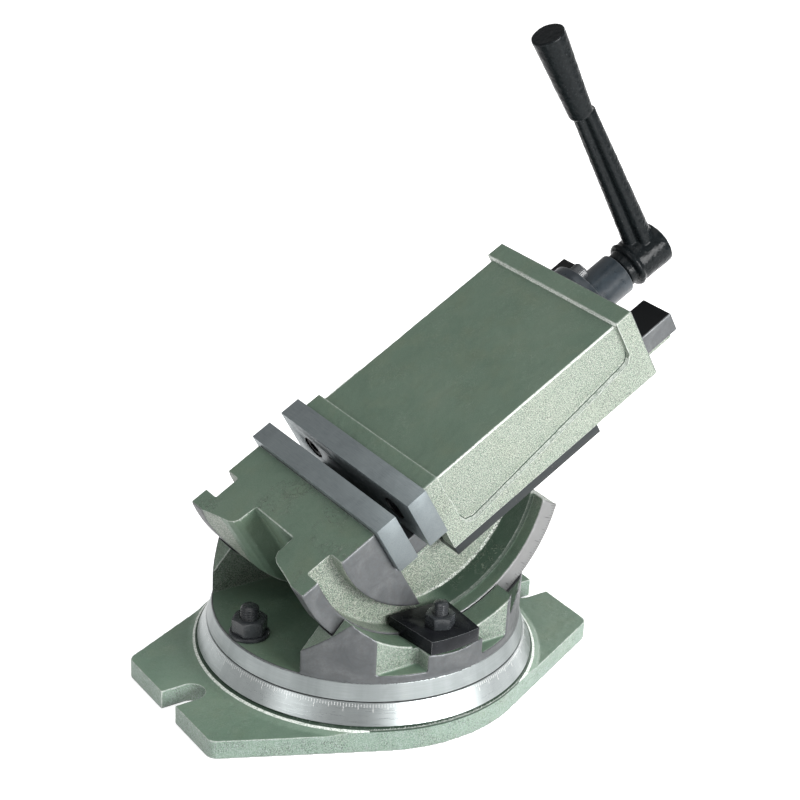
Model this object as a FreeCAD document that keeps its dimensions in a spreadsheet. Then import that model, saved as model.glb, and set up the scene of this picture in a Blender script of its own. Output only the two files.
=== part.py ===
import FreeCAD, Part
import os
import re
import Sketcher
from FreeCAD import Placement, Rotation, Vector

# Two-way angle vise: a graduated swivel base, a table that turns on it, a vise body that tilts
# in the table's cradle, and a moving jaw that a crank draws along the bed.
# World frame: X along the base, Y across the jaws, Z up, origin on the swivel axis under the base.
# Vise frame: x along the bed from the fixed gripping face, y across, z up from the jaw plates' top.
# Jaw frame: the vise frame, moved along the bed so that x starts at the moving gripping face.

DIMENSIONS = {
    # Base
    "base_half_length": 122.0, "base_end_half": 45.5, "base_radius": 93.0, "base_thick": 10.8,
    "base_corner": 6.0, "slot_width": 15.0, "slot_length": 21.0,
    "boss_radius": 97.5, "boss_tip": 92.9, "boss_top": 13.6, "groove_depth": 1.4, "groove_height": 0.7,
    "ring_radius": 92.1, "seam_radius": 87.0, "ring_top": 25.8,
    "pivot_radius": 20.0, "pivot_bottom": 6.0, "pivot_play": 0.05,
    "bolt_circle": 73.5, "neck_half": 5.6, "track_half": 10.0, "track_floor": 8.5, "track_roof": 19.0,
    "relief_inner": 29.0, "relief_outer": 57.0, "relief_top": 17.0,
    # Table
    "table_bottom": 26.1, "table_top": 36.1, "table_edge": 84.5, "turned_radius": 84.3,
    "cradle_radius": 84.5, "wall_radius": 74.0, "cradle_inner": 46.0, "cradle_side": 58.4,
    "cradle_left": 70.2, "cradle_right": 64.5, "wall_right": 44.5, "cheek_height": 75.0,
    "shoulder_low": 49.5, "shoulder_high": 69.7, "shoulder_run": 18.0,
    "seat_left": 18.5, "seat_right": 19.5, "seat_height": 49.3,
    "niche_left": 42.2, "niche_right": 15.5, "niche_face": 73.0,
    "notch_left": 19.5, "notch_right": 60.0, "niche_sill": 40.0,
    # Fasteners
    "lock_radius": 5.0, "lock_flats": 17.0, "lock_height": 8.4, "washer_radius": 10.8,
    "stud_radius": 4.0, "nut_flats": 14.0, "nut_height": 6.8,
    "washer_thick": 2.0, "head_half": 9.0, "head_bottom": 10.7, "head_top": 18.7,
    "bolt_top": 53.5, "play": 0.05,
    # Tilt clamps
    "clamp_left": 18.6, "clamp_left_outer": 13.5, "clamp_right": 17.0, "clamp_outer": 84.0,
    "clamp_toe": 50.0, "clamp_bottom": 49.3, "clamp_top": 57.0, "toe_radius": 73.1,
    "clamp_stud_reach": 69.5, "clamp_stud_bottom": 40.0, "clamp_stud_top": 70.6,
    # Tilt axis, in the world and in the vise frame
    "axis_height": 122.2, "tilt": 30.0, "axis_ahead": 22.5, "axis_drop": 14.5,
    # Vise body
    "rim_radius": 84.2, "rim_inner": 73.5, "land_radius": 58.5, "body_half": 58.0,
    "body_top": -4.2, "groove_floor": 47.5, "land_edge": -10.5, "plate_thick": 12.4,
    "pocket_step": 49.6, "pocket_lip": 71.8, "pocket_root": 66.0,
    "bed_top": -32.0, "bed_end": 195.5, "rail_half": 47.0, "rail_step": -44.3, "cast_half": 44.0,
    "cast_end": 192.5, "rail_bottom": -48.7, "web_half": 40.0, "web_bottom": -63.0,
    "web_rise": 103.0, "web_end": 150.0, "rim_end_x": 76.5, "rim_end_out": 83.5,
    "rim_end_low": -74.5, "channel_half": 24.0, "channel_floor": -52.0,
    "scallop_floor": -40.8, "scallop_half": 19.2, "scallop_mouth": 25.5, "scallop_lip": -56.6,
    "scallop_brow": -58.1, "scallop_bend": 34.0, "scallop_edge": -61.8, "scallop_flare": 50.0,
    "under_half": 20.0,
    # Jaw plates
    "plate_half": 62.5, "plate_height": 31.1, "plate_screw_reach": 40.0, "plate_screw_drop": 15.5,
    "bolt_radius": 4.0, "sink_radius": 6.85, "sink_depth": 8.5, "cap_radius": 6.5, "cap_height": 8.0,
    "screw_tail": 16.0, "opening": 8.2,
    # Screw nut
    "screw_drop": -26.5, "thread_radius": 10.0, "nut_start": 124.8, "nut_end": 148.8,
    "nut_half": 23.95, "nut_foot": -50.0, "nut_top": -13.0, "nut_wing": 33.3, "wing_top": -24.0,
    "wing_screw": 28.0, "wing_screw_tail": 22.0, "seat_play": 0.4,
    # Moving jaw, in the jaw frame
    "jaw_end": 160.3, "jaw_half": 57.6, "border_top": -2.6, "panel_top": -5.4, "panel_half": 54.6,
    "panel_front": 22.8, "panel_back": 149.3, "panel_low_front": -42.0, "panel_low_back": -30.5,
    "panel_rise": -25.5, "sole": -31.7, "flange_inner": 47.3, "jaw_bottom": -49.0,
    "hollow_half": 34.0, "hollow_front": 24.0, "hollow_back": 149.5, "hollow_roof": -12.0,
    "tongue_half": 23.6, "tongue_bottom": -50.5,
    "wall_bore": 10.3, "collar_radius": 12.8, "collar_pocket": 5.0,
    # Keepers
    "keeper_front": 13.0, "keeper_end": 116.0, "keeper_inner": 40.4, "keeper_outer": 56.5,
    "keeper_thick": 6.0, "keeper_screw_reach": 50.0, "small_radius": 3.0, "small_cap_radius": 5.0,
    "small_cap_height": 6.0, "small_tail": 12.0, "flat_head_radius": 5.6, "flat_head_height": 3.2,
    # Bearing flange, lead screw and crank, in the jaw frame
    "flange_radius": 23.6, "flange_thick": 6.0, "neck_radius": 12.3, "neck_end": 191.3,
    "flange_circle": 18.4, "journal_radius": 8.0, "seat_radius": 7.0, "screw_front": 30.0,
    "hub_start": 197.0, "hub_end": 221.6, "hub_radius": 12.8, "bead_radius": 13.6, "bead_width": 3.5,
    "hub_boss_start": 192.0, "hub_boss_radius": 10.4,
    "arm_place": 209.9, "arm_root": 8.5, "arm_tip": 6.3, "arm_reach": 101.0,
    "grip_place": 207.6, "grip_root": 6.6, "grip_tip": 9.1, "grip_reach": 154.7,
    "pin_place": 204.5, "pin_radius": 2.5,
}

doc = FreeCAD.newDocument("angle_vise")
sheet = doc.addObject("Spreadsheet::Sheet", "dims")
for row, (alias, value) in enumerate(DIMENSIONS.items(), start=1):
    sheet.set(f"A{row}", alias)
    sheet.set(f"B{row}", str(value))
    sheet.setAlias(f"B{row}", alias)
doc.recompute()

LIE = {"x": Rotation(Vector(0, 1, 0), 90), "y": Rotation(Vector(1, 0, 0), -90), "z": Rotation()}
BEYOND = 120.0
PARTS = []


def bound(text):
    """The expression with each dimension's name looked up in the sheet."""
    return re.sub(r"[a-z_]+", lambda word: "dims." + word[0] if word[0] in DIMENSIONS else word[0],
                  str(text))


def bind(thing, sizes):
    """Bind each named property of an object to an expression."""
    for name, text in sizes.items():
        thing.setExpression(name, bound(text))
    return thing


def box(name, x, y, z):
    """A block between a pair of expressions on each axis."""
    block = doc.addObject("Part::Box", name)
    for side, axis, (low, high) in (("Length", "x", x), ("Width", "y", y), ("Height", "z", z)):
        bind(block, {side: f"({high}) - ({low})", f"Placement.Base.{axis}": low})
    return block


def rod(name, axis, radius, low, high, centre=("0", "0"), tip=None):
    """A cylinder, or a cone where tip is given, along an axis; centre holds the other two places."""
    thing = doc.addObject("Part::Cylinder" if tip is None else "Part::Cone", name)
    thing.Placement = Placement(Vector(), LIE[axis])
    bind(thing, {"Radius": radius} if tip is None else {"Radius1": radius, "Radius2": tip})
    bind(thing, {"Height": f"({high}) - ({low})", f"Placement.Base.{axis}": low})
    others = [letter for letter in "xyz" if letter != axis]
    return bind(thing, {f"Placement.Base.{letter}": place for letter, place in zip(others, centre)})


def hexagon(name, flats, low, high, centre):
    """An upright hexagonal blank, sized across its flats."""
    prism = doc.addObject("Part::Prism", name)
    prism.Polygon = 6
    return bind(prism, {"Circumradius": f"({flats}) / sqrt(3)", "Height": f"({high}) - ({low})",
                        "Placement.Base.x": centre[0], "Placement.Base.y": centre[1],
                        "Placement.Base.z": low})


def outline(name, corners, low, high, plane="xz"):
    """A closed outline, each corner bound to the sheet, pulled from low to high."""
    sketch = doc.addObject("Sketcher::SketchObject", name + "_outline")
    ends = [Vector(sheet.evalExpression(bound(x)), sheet.evalExpression(bound(y)))
            for x, y in corners]
    for index, start in enumerate(ends):
        sketch.addGeometry(Part.LineSegment(start, ends[(index + 1) % len(ends)]))
    for index, (x, y) in enumerate(corners):
        joined = Sketcher.Constraint("Coincident", index, 2, (index + 1) % len(ends), 1)
        sketch.addConstraint(joined)
        for kind, text, place in (("DistanceX", x, ends[index].x), ("DistanceY", y, ends[index].y)):
            number = sketch.addConstraint(Sketcher.Constraint(kind, -1, 1, index, 1, place))
            sketch.setExpression(f"Constraints[{number}]", bound(text))
    pull = doc.addObject("Part::Extrusion", name)
    pull.Base = sketch
    pull.DirMode = "Normal"
    pull.Solid = True
    bind(pull, {"LengthFwd": f"({high}) - ({low})"})
    if plane == "xz":
        sketch.Placement = Placement(Vector(), Rotation(Vector(1, 0, 0), 90))
        bind(sketch, {"Placement.Base.y": high})
    else:
        bind(sketch, {"Placement.Base.z": low})
    return pull


def fuse(name, *pieces):
    """The union of the pieces."""
    joined = doc.addObject("Part::MultiFuse", name)
    joined.Shapes = list(pieces)
    joined.Refine = True
    return joined


def cut(name, base, *tools):
    """The base with every tool taken away."""
    made = doc.addObject("Part::Cut", name)
    made.Base = base
    made.Tool = tools[0] if len(tools) == 1 else fuse(name + "_tools", *tools)
    made.Refine = True
    return made


def common(name, first, second):
    """What two pieces share."""
    made = doc.addObject("Part::Common", name)
    made.Base = first
    made.Tool = second
    return made


def both(name, maker, places):
    """One node that holds the same piece at several places."""
    return fuse(name, *[maker(f"{name}_{index}", place) for index, place in enumerate(places)])


def sides(maker):
    """The piece on the -Y side and the same on the +Y side, from a maker given a sign."""
    return [maker(tag, sign) for tag, sign in (("front", "-1"), ("rear", "1"))]


def across(inner, outer, sign):
    """The pair of places across the vise between two reaches, on the side that sign names."""
    return (f"-({outer})", f"-({inner})") if sign == "-1" else (inner, outer)


def finish(label, thing, frame="world"):
    """Name a finished sub-part and set it in the frame that it was drawn in."""
    thing.Label = label
    if frame != "world":
        slide = "opening" if frame == "jaw" else "0"
        thing.Placement = Placement(Vector(), Rotation(Vector(0, 1, 0), -DIMENSIONS["tilt"]))
        bind(thing, {
            "Placement.Base.x": f"({slide} - axis_ahead) * cos(tilt * 1 deg)"
                                " - axis_drop * sin(tilt * 1 deg)",
            "Placement.Base.z": f"axis_height + ({slide} - axis_ahead) * sin(tilt * 1 deg)"
                                " + axis_drop * cos(tilt * 1 deg)",
            "Placement.Rotation.Angle": "-tilt * 1 deg",
        })
    PARTS.append(thing)


def fillet(name, base, radius, wanted):
    """The base with the edges that wanted picks rounded to a radius from the sheet."""
    doc.recompute()
    made = doc.addObject("Part::Fillet", name)
    made.Base = base
    size = DIMENSIONS[radius]
    made.Edges = [(number, size, size) for number, edge in enumerate(base.Shape.Edges, start=1)
                  if wanted(edge)]
    return made


# ---------------------------------------------------------------- base
def make_base():
    """The slotted base plate with its boss, graduated ring, pivot bore and round T track."""
    lean = "atan2(base_end_half; base_half_length) + acos(base_radius / hypot(base_end_half;"
    lean += " base_half_length))"
    tangent = (f"base_radius * cos({lean})", f"base_radius * sin({lean})")
    quarter = [("base_half_length", "base_end_half"), tangent]
    corners = quarter + [(f"-({x})", y) for x, y in reversed(quarter)]
    corners += [(f"-({x})", f"-({y})") for x, y in quarter]
    corners += [(x, f"-({y})") for x, y in reversed(quarter)]
    def footprint(name, top):
        disc = rod(name + "_disc", "z", "base_radius", "0", top)
        return fuse(name, outline(name + "_ears", corners, "0", top, plane="xy"), disc)

    plate = footprint("plate", "base_thick")
    end = DIMENSIONS["base_half_length"] - 0.1
    plate = fillet("plate_rounded", plate, "base_corner",
                   lambda edge: min(abs(v.X) for v in edge.Vertexes) > end
                   and len({round(v.Z, 3) for v in edge.Vertexes}) == 2)
    boss = common("boss", footprint("boss_limit", "boss_top"),
                  rod("boss_cone", "z", "boss_radius", "base_thick", "boss_top", tip="boss_tip"))
    groove = rod("groove", "z", "ring_radius - groove_depth", "boss_top", "boss_top + groove_height")
    ring = rod("ring", "z", "ring_radius", "boss_top + groove_height", "ring_top", tip="seam_radius")
    body = fuse("base_solid", plate, boss, groove, ring)

    def slot(name, sign):
        middle = "base_half_length - slot_length + slot_width / 2"
        centre = f"({sign}) * ({middle})"
        ends = (centre, "base_half_length + 5") if sign == "1" else ("-base_half_length - 5", centre)
        rise = ("-1", "boss_top + groove_height")
        way = box(name + "_way", ends, ("-slot_width / 2", "slot_width / 2"), rise)
        return fuse(name, way, rod(name + "_end", "z", "slot_width / 2", *rise, centre=(centre, "0")))

    track = cut("track", rod("track_out", "z", "bolt_circle + track_half", "track_floor", "track_roof"),
                rod("track_in", "z", "bolt_circle - track_half", "track_floor - 1", "track_roof + 1"))
    neck = cut("neck", rod("neck_out", "z", "bolt_circle + neck_half", "track_roof - 1", "ring_top + 1"),
               rod("neck_in", "z", "bolt_circle - neck_half", "track_roof - 2", "ring_top + 2"))
    relief = cut("relief", rod("relief_out", "z", "relief_outer", "-1", "relief_top"),
                 rod("relief_in", "z", "relief_inner", "-2", "relief_top + 1"))
    entry = rod("entry", "z", "head_half * 1.45", "-1", "track_floor + 1",
                centre=("bolt_circle * cos(45 deg)", "bolt_circle * sin(45 deg)"))
    bore = rod("pivot_bore", "z", "pivot_radius + pivot_play", "-1", "ring_top + 1")
    finish("base_plate", cut("base", body, slot("slot_left", "-1"), slot("slot_right", "1"),
                             track, neck, relief, entry, bore))


# ---------------------------------------------------------------- swivel table
def make_table():
    """The table: turned rim, centre pivot and the two cheeks of the tilt cradle."""
    disc = rod("disc", "z", "seam_radius", "table_bottom", "table_top", tip="table_edge")
    pivot = rod("pivot", "z", "pivot_radius", "pivot_bottom", "table_bottom + 1")
    middle = ("0", "axis_height")
    turned = rod("turned", "z", "turned_radius", "table_bottom + 2", "cheek_height")
    wide = ("-" + str(BEYOND), str(BEYOND))
    high = str(BEYOND)
    tools = [
        box("between", wide, ("-cradle_inner", "cradle_inner"), ("table_top", high)),
        rod("cradle", "y", "cradle_radius", "-cradle_side", "cradle_side", centre=middle),
        rod("wall_arc", "y", "wall_radius", *wide, centre=middle),
        common("open_end", rod("cradle_wide", "y", "cradle_radius", *wide, centre=middle),
               box("open_end_box", ("wall_right", high), wide, ("table_top", high))),
        box("left_end", ("-" + high, "-cradle_left"), wide, ("table_top", high)),
        box("right_end", ("cradle_right", high), wide, ("table_top", high)),
        outline("shoulder", [("-cradle_left - 1", "shoulder_low"), ("-cradle_left", "shoulder_low"),
                             ("-cradle_left + shoulder_run", "shoulder_high"),
                             ("-cradle_left + shoulder_run", "cheek_height + 9"),
                             ("-cradle_left - 1", "cheek_height + 9")], *wide),
    ]

    def seat(tag, sign):
        return box(f"seat_{tag}", ("-seat_left", "seat_right"), across("cradle_side", high, sign),
                   ("seat_height", high))

    def niche(tag, sign):
        return box(f"niche_{tag}", ("-niche_left", "-niche_right"), across("niche_face", high, sign),
                   ("niche_sill", high))

    def notch(tag, sign):
        return box(f"notch_{tag}", ("notch_left", "notch_right"), across("niche_face", high, sign),
                   ("niche_sill", high))

    for maker in (seat, niche, notch):
        tools += sides(maker)
    cheeks = cut("cheeks", turned, *tools)
    solid = fuse("table_solid", disc, pivot, cheeks)
    holes = [rod(f"bolt_hole_{index}", "z", "lock_radius + 0.5", "table_bottom - 1", "table_top + 1",
                 centre=(f"({sign}) * bolt_circle", "0")) for index, sign in enumerate(("-1", "1"))]
    holes += [rod(f"stud_hole_{tag}", "z", "stud_radius + play", "clamp_stud_bottom", "cheek_height",
                  centre=("0", f"({sign}) * clamp_stud_reach"))
              for tag, sign in (("front", "-1"), ("rear", "1"))]
    finish("swivel_table", cut("table", solid, *holes))


def make_swivel_lock():
    """The T bolts that lock the swivel, with their washers and nuts."""
    places = [("-bolt_circle", "0"), ("bolt_circle", "0")]

    def bolt(name, place):
        head = box(name + "_head", (f"{place[0]} - head_half", f"{place[0]} + head_half"),
                   ("-head_half * 0.7", "head_half * 0.7"), ("head_bottom", "head_top"))
        shank = rod(name + "_shank", "z", "lock_radius", "head_top - 1", "bolt_top", centre=place)
        return fuse(name, head, shank)

    def washer(name, place):
        disc = rod(name + "_disc", "z", "washer_radius", "table_top", "table_top + washer_thick",
                   centre=place)
        return cut(name, disc, rod(name + "_hole", "z", "lock_radius + play", "table_top - 1",
                                   "table_top + washer_thick + 1", centre=place))

    def nut(name, place):
        low = "table_top + washer_thick"
        return cut(name, hexagon(name + "_hex", "lock_flats", low, low + " + lock_height", place),
                   rod(name + "_hole", "z", "lock_radius + play", low + " - 1",
                       low + " + lock_height + 1", centre=place))

    finish("swivel_t_bolts", both("t_bolts", bolt, places))
    finish("swivel_washers", both("washers", washer, places))
    finish("swivel_nuts", both("lock_nuts", nut, places))


def make_tilt_lock():
    """The clamp plates that press the body's rims down, with their studs and nuts."""
    def clamp(tag, sign):
        corners = [("-clamp_left", "clamp_toe"), ("-clamp_left_outer", "clamp_outer + 2"),
                   ("clamp_right - 1", "clamp_outer + 2"), ("clamp_right", "clamp_toe")]
        corners = [(x, f"({sign}) * ({y})") for x, y in corners]
        block = outline(f"clamp_block_{tag}", corners, "clamp_bottom", "clamp_top", plane="xy")
        flush = rod(f"clamp_flush_{tag}", "z", "clamp_outer", "0", "cheek_height")
        plate = common(f"clamp_plate_{tag}", block, flush)
        inside = across("clamp_toe - 1", "cradle_side", sign)
        under = cut(f"toe_under_{tag}",
                    box(f"toe_box_{tag}", ("-cradle_left", "cradle_left"), inside,
                        ("table_top", "clamp_top + 1")),
                    rod(f"toe_arc_{tag}", "y", "toe_radius", *across("clamp_toe - 2",
                        "cradle_side + 1", sign), centre=("0", "axis_height")))
        hole = rod(f"clamp_hole_{tag}", "z", "stud_radius + play", "table_top", "clamp_top + 1",
                   centre=("0", f"({sign}) * clamp_stud_reach"))
        finish(f"tilt_clamp_{tag}", cut(f"clamp_{tag}", plate, under, hole))

    def stud(name, place):
        return rod(name, "z", "stud_radius", "clamp_stud_bottom", "clamp_stud_top", centre=place)

    def nut(name, place):
        return cut(name, hexagon(name + "_hex", "nut_flats", "clamp_top", "clamp_top + nut_height",
                                 place),
                   rod(name + "_hole", "z", "stud_radius + play", "clamp_top - 1",
                       "clamp_top + nut_height + 1", centre=place))

    sides(clamp)
    places = [("0", "-clamp_stud_reach"), ("0", "clamp_stud_reach")]
    finish("tilt_studs", both("studs", stud, places))
    finish("tilt_nuts", both("clamp_nuts", nut, places))


# ---------------------------------------------------------------- vise body
def cap_screw(name, start, head, reach, shank, tail, place, axis="x", away="1"):
    """A socket head cap screw; start is its head's bearing face, away the way its head points."""
    top = f"({start}) + ({away}) * ({head})"
    end = f"({start}) - ({away}) * ({tail})"
    low, high = (start, top) if away == "1" else (top, start)
    cap = rod(name + "_cap", axis, reach, low, high, centre=place)
    low, high = (end, f"({start}) + 1") if away == "1" else (f"({start}) - 1", end)
    return fuse(name, cap, rod(name + "_shank", axis, shank, low, high, centre=place))


def make_body():
    """The tilting body: fixed jaw, two rims for the cradle, side grooves and the bed's rails."""
    axis = ("axis_ahead", "-axis_drop")
    far = str(2 * BEYOND)
    wide = ("-" + far, far)
    disc = rod("rim_disc", "y", "rim_radius", "-body_half", "body_half", centre=axis)
    trims = [
        box("above_jaw", wide, wide, ("body_top", far)),
        box("above_bed", ("-plate_thick", far), wide, ("bed_top", far)),
        outline("rim_end", [("rim_end_x", "web_bottom"), ("rim_end_out + 20", "rim_end_low - 34"),
                            ("rim_end_out + 90", "rim_end_low - 34"), ("rim_end_out + 90", "0"),
                            ("rim_end_x", "0")], *wide),
    ]
    disc = cut("rims", disc, *trims)

    def groove(tag, sign):
        span = across("groove_floor", "body_half + 1", sign)
        ring = cut(f"groove_ring_{tag}", rod(f"groove_out_{tag}", "y", "rim_inner", *span, centre=axis),
                   rod(f"groove_in_{tag}", "y", "land_radius", *across("groove_floor - 1",
                       "body_half + 2", sign), centre=axis))
        return common(f"groove_{tag}", ring, box(f"groove_side_{tag}", ("-" + far, "land_edge + 1"),
                                                 wide, wide))

    def pocket(tag, sign):
        radii = ("pocket_lip", "pocket_root") if sign == "-1" else ("pocket_root", "pocket_lip")
        disc = fuse(f"pocket_disc_{tag}",
                    rod(f"pocket_out_{tag}", "y", "rim_inner",
                        *across("pocket_step", "body_half + 1", sign), centre=axis),
                    rod(f"pocket_cone_{tag}", "y", radii[0], *across("web_half", "pocket_step", sign),
                        centre=axis, tip=radii[1]))
        return common(f"pocket_{tag}", disc,
                      box(f"pocket_side_{tag}", ("land_edge", far), wide, ("-" + far, "rail_bottom")))

    def keeper_way(tag, sign):
        return box(f"keeper_way_{tag}", ("land_edge", far), across("web_half", "body_half + 1", sign),
                   ("jaw_bottom - keeper_thick - 0.4", "rail_bottom"))

    def rail_side(tag, sign):
        return fuse(f"rail_side_{tag}",
                    box(f"rail_side_high_{tag}", ("land_edge", far),
                        across("rail_half", "body_half + 1", sign), ("rail_bottom - 1", far)),
                    box(f"rail_side_low_{tag}", ("land_edge", far),
                        across("cast_half", "body_half + 1", sign), ("rail_bottom - 1", "rail_step")))

    rails = box("rails", ("-plate_thick - 5", "bed_end"), ("-rail_half", "rail_half"),
                ("rail_step", "bed_top"))
    cast = box("rails_cast", ("-plate_thick - 5", "cast_end"), ("-cast_half", "cast_half"),
               ("rail_bottom", "rail_step + 1"))
    web = outline("web", [("-plate_thick", "web_bottom"), ("web_rise", "web_bottom"),
                          ("web_end", "rail_bottom"), ("web_end", "rail_bottom + 1"),
                          ("-plate_thick", "rail_bottom + 1")], "-web_half", "web_half")
    solid = fuse("body_solid", disc, rails, cast, web)
    tools = sides(groove) + sides(pocket) + sides(keeper_way) + sides(rail_side)
    tools.append(box("channel", ("0", "bed_end + 1"), ("-channel_half", "channel_half"),
                     ("channel_floor", "bed_top + 1")))
    half = [("scallop_edge", "scallop_flare"), ("scallop_brow", "scallop_bend"),
            ("scallop_lip", "scallop_mouth"), ("scallop_lip + 2", "scallop_half + 2.2"),
            ("scallop_lip + 5", "scallop_half + 0.3"), ("scallop_floor", "scallop_half - 0.2")]
    mirror = [(x, f"-({y})") for x, y in reversed(half)]
    ends = [("-" + far, "-scallop_flare"), ("-" + far, "scallop_flare")]
    tools.append(outline("scallop", half + mirror + ends, *wide, plane="xy"))
    tools.append(box("under_hollow", ("-" + far, far), ("-under_half", "under_half"),
                     ("-" + far, "web_bottom")))
    for index, reach in enumerate(("-plate_screw_reach", "plate_screw_reach")):
        tools.append(rod(f"plate_tap_{index}", "x", "bolt_radius + play",
                         "-plate_thick - screw_tail", "-plate_thick + 1",
                         centre=(reach, "-plate_screw_drop")))
    for index, reach in enumerate(("-wing_screw", "wing_screw")):
        tools.append(rod(f"wing_tap_{index}", "z", "small_radius + play",
                         "wing_top - wing_screw_tail", "bed_top + 1",
                         centre=("(nut_start + nut_end) / 2", reach)))
    finish("vise_body", cut("body", solid, *tools), frame="vise")


def jaw_plate(name, low, high, face):
    """A hardened jaw plate with two counterbored holes, its gripping face at low or high."""
    block = box(name + "_block", (low, high), ("-plate_half", "plate_half"), ("-plate_height", "0"))
    sink = (f"{high} - sink_depth", f"{high} + 1") if face == "high" else \
        (f"{low} - 1", f"{low} + sink_depth")
    holes = []
    for index, reach in enumerate(("-plate_screw_reach", "plate_screw_reach")):
        place = (reach, "-plate_screw_drop")
        holes.append(rod(f"{name}_hole_{index}", "x", "bolt_radius + play", f"{low} - 1",
                         f"{high} + 1", centre=place))
        holes.append(rod(f"{name}_sink_{index}", "x", "sink_radius", *sink, centre=place))
    return cut(name, block, *holes)


def plate_screws(name, bearing, away):
    """The two cap screws of a jaw plate, their heads sunk below its face."""
    def screw(tag, reach):
        return cap_screw(tag, bearing, "cap_height", "cap_radius", "bolt_radius", "screw_tail",
                         (reach, "-plate_screw_drop"), away=away)
    return both(name, screw, ("-plate_screw_reach", "plate_screw_reach"))


def make_fixed_jaw():
    """The fixed jaw plate and its screws."""
    finish("fixed_jaw_plate", jaw_plate("fixed_plate", "-plate_thick", "0", "high"), frame="vise")
    finish("fixed_jaw_screws", plate_screws("fixed_screws", "-sink_depth", "1"), frame="vise")


def make_screw_nut():
    """The lead screw's nut block, keyed into the bed and held by two cap screws."""
    key = box("nut_key", ("nut_start", "nut_end"), ("-nut_half", "nut_half"), ("nut_foot", "nut_top"))
    wings = box("nut_wings", ("nut_start", "nut_end"), ("-nut_wing", "nut_wing"),
                ("bed_top", "wing_top"))
    place = "(nut_start + nut_end) / 2"
    holes = [rod(f"wing_hole_{index}", "z", "small_radius + play", "bed_top - 1", "wing_top + 1",
                 centre=(place, reach)) for index, reach in enumerate(("-wing_screw", "wing_screw"))]
    holes += [rod(f"wing_seat_{index}", "z", "small_cap_radius + seat_play", "wing_top", "nut_top + 1",
                  centre=(place, reach)) for index, reach in enumerate(("-wing_screw", "wing_screw"))]
    holes.append(rod("nut_bore", "x", "thread_radius + play", "nut_start - 1", "nut_end + 1",
                     centre=("0", "screw_drop")))
    finish("screw_nut", cut("nut_block", fuse("nut_solid", key, wings), *holes), frame="vise")

    def screw(tag, reach):
        return cap_screw(tag, "wing_top", "small_cap_height", "small_cap_radius", "small_radius",
                         "wing_screw_tail", (place, reach), axis="z")
    finish("nut_screws", both("wing_screws", screw, ("-wing_screw", "wing_screw")), frame="vise")


# ---------------------------------------------------------------- moving jaw
def make_moving_jaw():
    """The hollow moving jaw that straddles the rails, with its raised border and panels."""
    far = str(2 * BEYOND)
    block = box("jaw_block", ("plate_thick", "jaw_end"), ("-jaw_half", "jaw_half"),
                ("jaw_bottom", "border_top"))

    def panel(tag, sign):
        return outline(f"panel_{tag}", [("panel_front", "1"), ("panel_front + 1", "panel_low_front + 7"),
                                        ("panel_front + 3", "panel_low_front + 2"),
                                        ("panel_front + 8", "panel_low_front"),
                                        ("panel_back - 8", "panel_low_back"),
                                        ("panel_back - 3", "panel_low_back + 1"),
                                        ("panel_back", "panel_rise"), ("panel_back", "1")],
                       *across("panel_half", "jaw_half + 1", sign))

    shell = cut("jaw_shell", block, *sides(panel),
                box("panel_over", ("panel_front", "panel_back"), ("-jaw_half - 1", "jaw_half + 1"),
                    ("panel_top", "1")),
                box("rail_way", ("0", far), ("-flange_inner", "flange_inner"), ("-" + far, "sole")))
    tongue = box("tongue", ("hollow_back", "jaw_end"), ("-tongue_half", "tongue_half"),
                 ("tongue_bottom", "sole + 1"))
    tools = []
    tools.append(box("hollow", ("hollow_front", "hollow_back"), ("-hollow_half", "hollow_half"),
                     ("sole - 1", "hollow_roof")))
    tools.append(rod("wall_hole", "x", "wall_bore", "hollow_back - 1", "jaw_end + 1",
                     centre=("0", "screw_drop")))
    tools.append(rod("collar_seat", "x", "collar_radius + 0.1", "jaw_end - collar_pocket",
                     "jaw_end + 1", centre=("0", "screw_drop")))
    for index, reach in enumerate(("-plate_screw_reach", "plate_screw_reach")):
        tools.append(rod(f"jaw_tap_{index}", "x", "bolt_radius + play", "plate_thick - 1",
                         "sink_depth + screw_tail", centre=(reach, "-plate_screw_drop")))
    for index, place in enumerate(flange_places()):
        tools.append(rod(f"flange_tap_{index}", "x", "small_radius + play", "jaw_end - small_tail",
                         "jaw_end + 1", centre=place))
    for index, place in enumerate(keeper_places("-1") + keeper_places("1")):
        tools.append(rod(f"keeper_tap_{index}", "z", "small_radius + play", "jaw_bottom - 1",
                         "jaw_bottom + small_tail + 1", centre=place))
    finish("moving_jaw", cut("jaw", fuse("jaw_solid", shell, tongue), *tools), frame="jaw")
    finish("moving_jaw_plate", jaw_plate("moving_plate", "0", "plate_thick", "low"), frame="jaw")
    finish("moving_jaw_screws", plate_screws("moving_screws", "sink_depth", "-1"), frame="jaw")


def flange_places():
    """Where the bearing flange's three screws stand, as expressions across and up."""
    turns = [f"{turn} deg" for turn in (90, 210, 330)]
    return [(f"flange_circle * cos({turn})", f"screw_drop + flange_circle * sin({turn})")
            for turn in turns]


def keeper_places(sign):
    """Where one keeper's three screws stand."""
    ends = ("keeper_front + 12", "(keeper_front + keeper_end) / 2", "keeper_end - 12")
    return [(place, f"({sign}) * keeper_screw_reach") for place in ends]


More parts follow.
